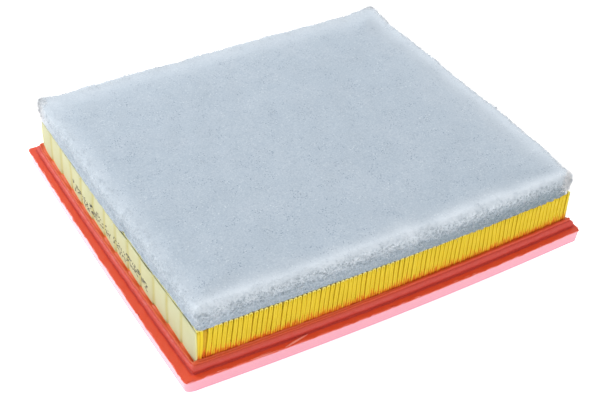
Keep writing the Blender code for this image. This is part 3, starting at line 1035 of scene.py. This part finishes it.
def carried(points, places, moves):
    """Each point moved as the places around it moved."""
    tree = kdtree.KDTree(len(places))
    for number, place in enumerate(places):
        tree.insert(place, number)
    tree.balance()
    result = np.array(points)
    for number, point in enumerate(points):
        near = tree.find_n(point, 6)
        weights = np.array([1 / (distance ** 2 + (3 * MM) ** 2) for _, _, distance in near])
        result[number] += weights @ moves[[place for _, place, _ in near]] / weights.sum()
    return result


def past_lift(points):
    """1 in front of the place where the pad's left edge lifts off the paper."""
    return ramp(LIFT_Y - points[:, 1], -1, 1)


def pad_outline_moves(points):
    """How far the real pad's outline stands off the plain one, outwards on each side, as (x, y) moves."""
    x_share, y_share = shares(points)
    high = ramp(points[:, 2] - PAD_LOW.z, 1, 12)
    right = 0.9 + high * (1.0 + 3.0 * smooth((y_share + 1) / 0.3) + np.exp(-((y_share + 0.4) / 0.2) ** 2))
    left = 0.7 - past_lift(points)
    front = 0.6 + 0.8 * smooth(x_share + 0.5) + 0.7 * smooth((-0.86 - x_share) / 0.08)
    rear = 1.0 + high * (3.6 + 0.8 * x_share)
    ragged = 0.24 * ripple(points, 7, 212) + 0.12 * ripple(points, 3.6, 213)
    ragged *= smooth((x_share + y_share) / 0.6)
    uneven = (0.28 * ripple(points, 26, 211) + ragged) * (0.3 + 0.7 * high)
    uneven += 0.13 * ripple(points, 2.8, 215) * (1 - high)
    flat = points[:, :2]
    outwards = np.where(flat > 0, np.stack([right, rear], -1), -np.stack([left, front], -1))
    return (outwards + np.sign(flat) * uneven[:, None]) * MM * ramp(np.abs(flat) - PAD_HALF, -12, 0)


def pad_paleness_and_highlight(points):
    """How pale the fleece is near its outline: partly where it is thin and fluffed, partly a painted
    highlight along its rounded rim. Most on the front and rear.
    """
    uneven = 0.6 * MM * ripple(points, 20, 207)
    rear = np.clip(np.minimum(HALF_X - points[:, 0], HALF_Y - points[:, 1]) + uneven, 0, None)
    left, front = (np.clip(half + points[:, i] + uneven, 0, None) for i, half in enumerate((HALF_X, HALF_Y)))
    far_left = np.hypot(HALF_X + points[:, 0], HALF_Y - points[:, 1])
    return np.maximum.reduce([0.42 * fade(rear, 10), 0.30 * bell(left, 9), 0.72 * bell(front, 9),
                              0.55 * fade(far_left, 16)])


def crust_edge(points):
    """Height over the pad's underside at which the felted crust of its sides ends."""
    around = points * np.array([1, 1, 0.4])
    return (5.6 + 0.9 * ripple(around, 19, 208) + 0.6 * ripple(around, 6, 209)) * MM


def pad_surface(points, normals):
    """The felted surface: almost smooth on top, knobbly on the sides, where a crust stands off the rest."""
    low = points[:, 2] - PAD_LOW.z
    upright = 1 - np.abs(normals[:, 2])
    top = smooth(normals[:, 2] * 1.6)
    bulk = 0.24 * ripple(points, 46, 201) + 0.08 * ripple(points, 15, 202)
    dimples = 0.035 * ripple(points, 6, 203, 14)
    grain = 0.12 * ripple(points, 4.5, 205, 16) + 0.24 * ripple(points, 2.6, 206, 20)
    above = low - crust_edge(points)
    crust = CRUST * (ramp(above, 0, 1) - 1)
    on_left = smooth(-normals[:, 0] * 2)
    grain *= (0.4 + 0.6 * ramp(above, -1, 1)) * smooth(upright * 2.2) * (1 - 0.5 * on_left)
    return ((bulk * top + dimples + grain) * MM + crust * smooth(upright * 1.5)) * ramp(low, 0, 1.2)


def settle_pad(points):
    """Lifts the pad's left edge in front, lets its front edge hang, and raises its rear and right."""
    x, y, z = points.T
    notch = bell(y - LIFT_Y + 2 * MM, 2)
    edge = 1 - ramp(x + HALF_X, 0, 4)
    low = 1 - ramp(z - PAD_LOW.z, 0, 4)
    lifted = (0.35 * past_lift(points) + 1.5 * notch) * MM
    z = np.maximum(z + lifted * edge * low, PACK_HIGH.z + 0.1 * MM)
    z -= 0.9 * MM * low * ramp(-HALF_Y - y, 0.2, 1.0)
    z += 0.8 * MM * (1 - low) * ramp(np.maximum(x - HALF_X, y - HALF_Y), -4, 2)
    return np.stack([x, y, z], -1)


def mark_pad(pad, points, normals):
    """Stores where the pad is pale and lit at its rim, where painted light brightens its rear and right sides
    over their fluff, where it is knotty, and where it is in painted shade.
    """
    low = points[:, 2] - PAD_LOW.z
    top = smooth(normals[:, 2] * 1.6)
    in_rear = np.maximum(smooth(np.maximum(normals[:, 0], normals[:, 1]) * 2),
                         fade(np.clip(HALF_Y - points[:, 1], 0, None), 9))
    # Near-white where the walls face rear or right: painted light on walls in shade, over some real pale
    # fluff.
    store(pad, "fluffy_and_lit", 0.85 * in_rear * (1 - top))
    # Paler rim: partly thin fleece, partly a painted highlight on the shoulder and on the rear and right
    # walls.
    store(pad, "rim", pad_paleness_and_highlight(points) * np.maximum(ramp(low, 4, 11), 0.9 * in_rear))
    on_front, on_left = smooth(-normals[:, 1] * 1.8), smooth(-normals[:, 0] * 1.8)
    knotty = (0.4 + 0.6 * ramp(low, 2, 5)) * (1 - smooth((normals[:, 2] - 0.3) / 0.6))
    store(pad, "side", knotty * np.maximum(on_front, 0.55 * on_left))
    rightwards = smooth(points[:, 0] / HALF_X / 1.4 + 0.4)
    crease = bell(low - crust_edge(points), 0.7) * smooth(ripple(points, 9, 214) / 2 + 0.4)
    hem = (1 - ramp(low, 0, 3.5 + 8.5 * rightwards)) * (0.1 + 0.7 * rightwards)
    store(pad, "shaded", on_front * np.maximum(0.35 * crease, hem))


def build_pad(material):
    """The fleece pad. Returns its points before the frame's bend, and its directions outwards."""
    points, faces = pad_mesh()
    points = carried(points, *swelling())
    points[:, :2] += pad_outline_moves(points)
    pad = new_piece("fleece_pad", points, faces, material, "fleece", ["prefilter_fleece"])
    normals = mesh_values(pad.data, "normal")
    points = settle_pad(points + normals * pad_surface(points, normals)[:, None])
    pad.data.vertices.foreach_set("co", bowed(points).astype(np.float32).ravel())
    pad.data.update()
    mark_pad(pad, points, normals)
    return points, mesh_values(pad.data, "normal")


FIBRE_SEGMENTS = 4


def build_fibres(name, roots, directions, curls, lengths, widths, material):
    """Thin three-sided fibres that start at roots, head along directions and curl."""
    share = np.linspace(0, 1, FIBRE_SEGMENTS + 1)[:, None]
    course = directions[:, None] * share + curls[:, None] * share ** 2
    path = roots[:, None] + course * lengths[:, None, None]
    heading = unit(np.gradient(path, axis=1))
    helper = unit(np.cross(heading, np.array([0.31, 0.52, 0.79])))
    other = np.cross(heading, helper)
    taper = (1 - 0.55 * share ** 2) * widths[:, None, None] / 2
    angles = np.radians([90, 210, 330])[:, None]
    rings = np.cos(angles) * helper[:, :, None] + np.sin(angles) * other[:, :, None]
    tubes = path[:, :, None] + rings * taper[..., None]
    firsts = (np.arange(len(roots)) * (FIBRE_SEGMENTS + 1) * 3)[:, None, None]
    pattern = tube_faces(FIBRE_SEGMENTS + 1, 3)
    faces = []
    for corners in (4, 3):
        alike = np.array([face for face in pattern if len(face) == corners])
        faces += (firsts + alike).reshape(-1, corners).tolist()
    new_piece(name, tubes.reshape(-1, 3), faces, material, "fleece")


def scatter_fibres(name, points, normals, weight, count, seed, lift, length, width, material):
    """Curved fibres over the part of the pad that the weights favour, lengths and widths in millimetres."""
    rng = np.random.default_rng(seed)
    chosen = rng.choice(len(points), count, p=weight / weight.sum())
    roots = points[chosen] + rng.uniform(-0.8, 0.8, (count, 3)) * MM
    up = normals[chosen]
    random = rng.normal(size=(count, 3))
    tangent = unit(random - up * np.sum(random * up, 1)[:, None])
    rise = rng.uniform(*lift, count)[:, None]
    directions = unit(tangent + up * rise)
    sideways = np.cross(up, tangent)
    curls = sideways * rng.normal(0, 0.45, count)[:, None]
    curls -= up * (rise * rng.uniform(0.5, 1.25, count)[:, None])
    lengths = rng.uniform(*length, count) * MM
    widths = rng.uniform(*width, count) * MM
    build_fibres(name, roots, directions, curls, lengths, widths, material)


def build_fuzz(points, normals):
    """Loose fibres on the pad: flecks on its face, short tangles on its sides, and a fringe round its rim."""
    single = fibre_material("polyester_fibre", (0.48, 0.55, 0.61), (0.70, 0.75, 0.79))
    # Near-white fringe fibres for the rear and right: pale fluff, and painted light over the shaded rear
    # corner.
    fluffy_and_lit = fibre_material("polyester_fringe", (0.88, 0.91, 0.94), (0.97, 0.97, 0.98))
    x, y, z = points.T
    tilt = normals[:, 2]
    inset = np.minimum(HALF_X - np.abs(x), HALF_Y - np.abs(y))
    face = (tilt > 0.8) * (smooth(ripple(points, 22, 311, 12) - 0.4) + 0.2)
    side = (np.abs(tilt) < 0.8) * (z > PAD_LOW.z + 4.0 * MM) * (normals[:, 0] > -0.5)
    rim = (inset < 6 * MM) * (tilt > 0.02) * (tilt < 0.98)
    back = (x > HALF_X - 6 * MM) | (y > HALF_Y - 6 * MM)
    corner = np.hypot(HALF_X - np.abs(x), HALF_Y - np.abs(y))
    rear_rim = back * (inset < 6 * MM) * (tilt > -0.5) * (tilt < 0.98) * (z > PAD_LOW.z + 3 * MM) \
        * (1 + 2.5 * fade(corner, 9))
    # name, weights, count, least and most lift, length and width
    kinds = [
        ("fleece_flecks", face, 4200, (0.0, 0.2), (0.6, 1.5), (0.07, 0.12), single),
        ("fleece_fibres_sides", side, 7200, (0.2, 0.9), (1.0, 2.4), (0.12, 0.20), single),
        ("fleece_fringe_front", rim & ~back, 6500, (0.3, 1.4), (1.5, 3.6), (0.06, 0.11), single),
        ("fleece_fringe_rear", rear_rim, 17000, (0.4, 2.6), (1.5, 5.0), (0.08, 0.15), fluffy_and_lit),
    ]
    for seed, (name, weight, count, lift, length, width, material) in enumerate(kinds, start=301):
        scatter_fibres(name, points, normals, weight, count, seed, lift, length, width, material)


# ---------------------------------------------------------------- stage

FLOOR_HALF = 6.0
CAMERA_PLACE = (-0.31484, -0.52032, 0.47566)
CAMERA_ANGLES = (51.9709, -1.5785, -30.2563)
CAMERA_LENS = 73.434
# name, place, size and power of each light
SOFTBOXES = [
    ("key", (-0.55, 0.86, 0.72), 0.5, 9.0),
    ("left", (-1.3, 0.0, 0.45), 0.5, 1.15),
    ("front", (0.22, -1.3, 0.35), 0.9, 2.4),
    ("right", (1.3, 0.2, 0.25), 0.5, 1.2),
    ("overhead", (0.1, -0.2, 1.5), 1.4, 6.0),
]


def add_floor(material):
    corners = [(x * FLOOR_HALF, y * FLOOR_HALF, 0) for x, y in ((-1, -1), (1, -1), (1, 1), (-1, 1))]
    mesh = bpy.data.meshes.new("floor")
    mesh.from_pydata(corners, [], [(0, 1, 2, 3)])
    mesh.materials.append(material)
    floor = bpy.data.objects.new("floor", mesh)
    floor.location.z = -0.05 * MM
    bpy.context.scene.collection.objects.link(floor)


def add_world(strength):
    world = bpy.data.worlds.new("studio")
    world.use_nodes = True
    background = world.node_tree.nodes["Background"]
    background.inputs["Color"].default_value = (1.0, 1.0, 1.0, 1.0)
    background.inputs["Strength"].default_value = strength
    bpy.context.scene.world = world


def add_softbox(name, place, size, power):
    """A square area light that faces the part's centre."""
    light = bpy.data.lights.new(name, "AREA")
    light.size = size
    light.energy = power
    box = bpy.data.objects.new(name, light)
    box.location = place
    box.rotation_euler = (-box.location.normalized()).to_track_quat("-Z", "Y").to_euler()
    bpy.context.scene.collection.objects.link(box)


def add_camera():
    data = bpy.data.cameras.new("camera")
    data.sensor_width = 36.0
    data.lens = CAMERA_LENS
    data.clip_start = 0.01
    camera = bpy.data.objects.new("camera", data)
    camera.location = CAMERA_PLACE
    camera.rotation_euler = [math.radians(angle) for angle in CAMERA_ANGLES]
    bpy.context.scene.collection.objects.link(camera)
    bpy.context.scene.camera = camera


def build_stage():
    add_floor(floor_material())
    add_world(0.72)
    for softbox in SOFTBOXES:
        add_softbox(*softbox)
    add_camera()
    bpy.context.scene.view_settings.view_transform = "Standard"


def main():
    foam = polyurethane_material()
    build_frame(foam)
    build_flash(foam)
    build_wicks(wick_material())
    build_pleats(paper_material())
    face = ply_face_material()
    build_side_ply(-1, "side_ply_left", face)
    build_side_ply(1, "side_ply_right", face)
    build_marks(ink_material())
    pleat_glue = glue_material("pleat_glue", (0.62, 0.39, 0.014), (0.52, 0.30, 0.010), stained=True)
    build_edge_glue(-1, "pleat_end_glue_front", pleat_glue, "edge_glue_front")
    build_edge_glue(1, "pleat_end_glue_rear", pleat_glue, "edge_glue_rear")
    thread_glue = glue_material("thread_glue", (0.50, 0.46, 0.17), (0.42, 0.37, 0.11))
    for number, y in enumerate(THREAD_LINES, start=1):
        build_thread(number, y, thread_glue)
    for number in range(1, 5):
        build_bond(number, thread_glue)
    build_fuzz(*build_pad(fleece_material()))
    build_stage()


main()
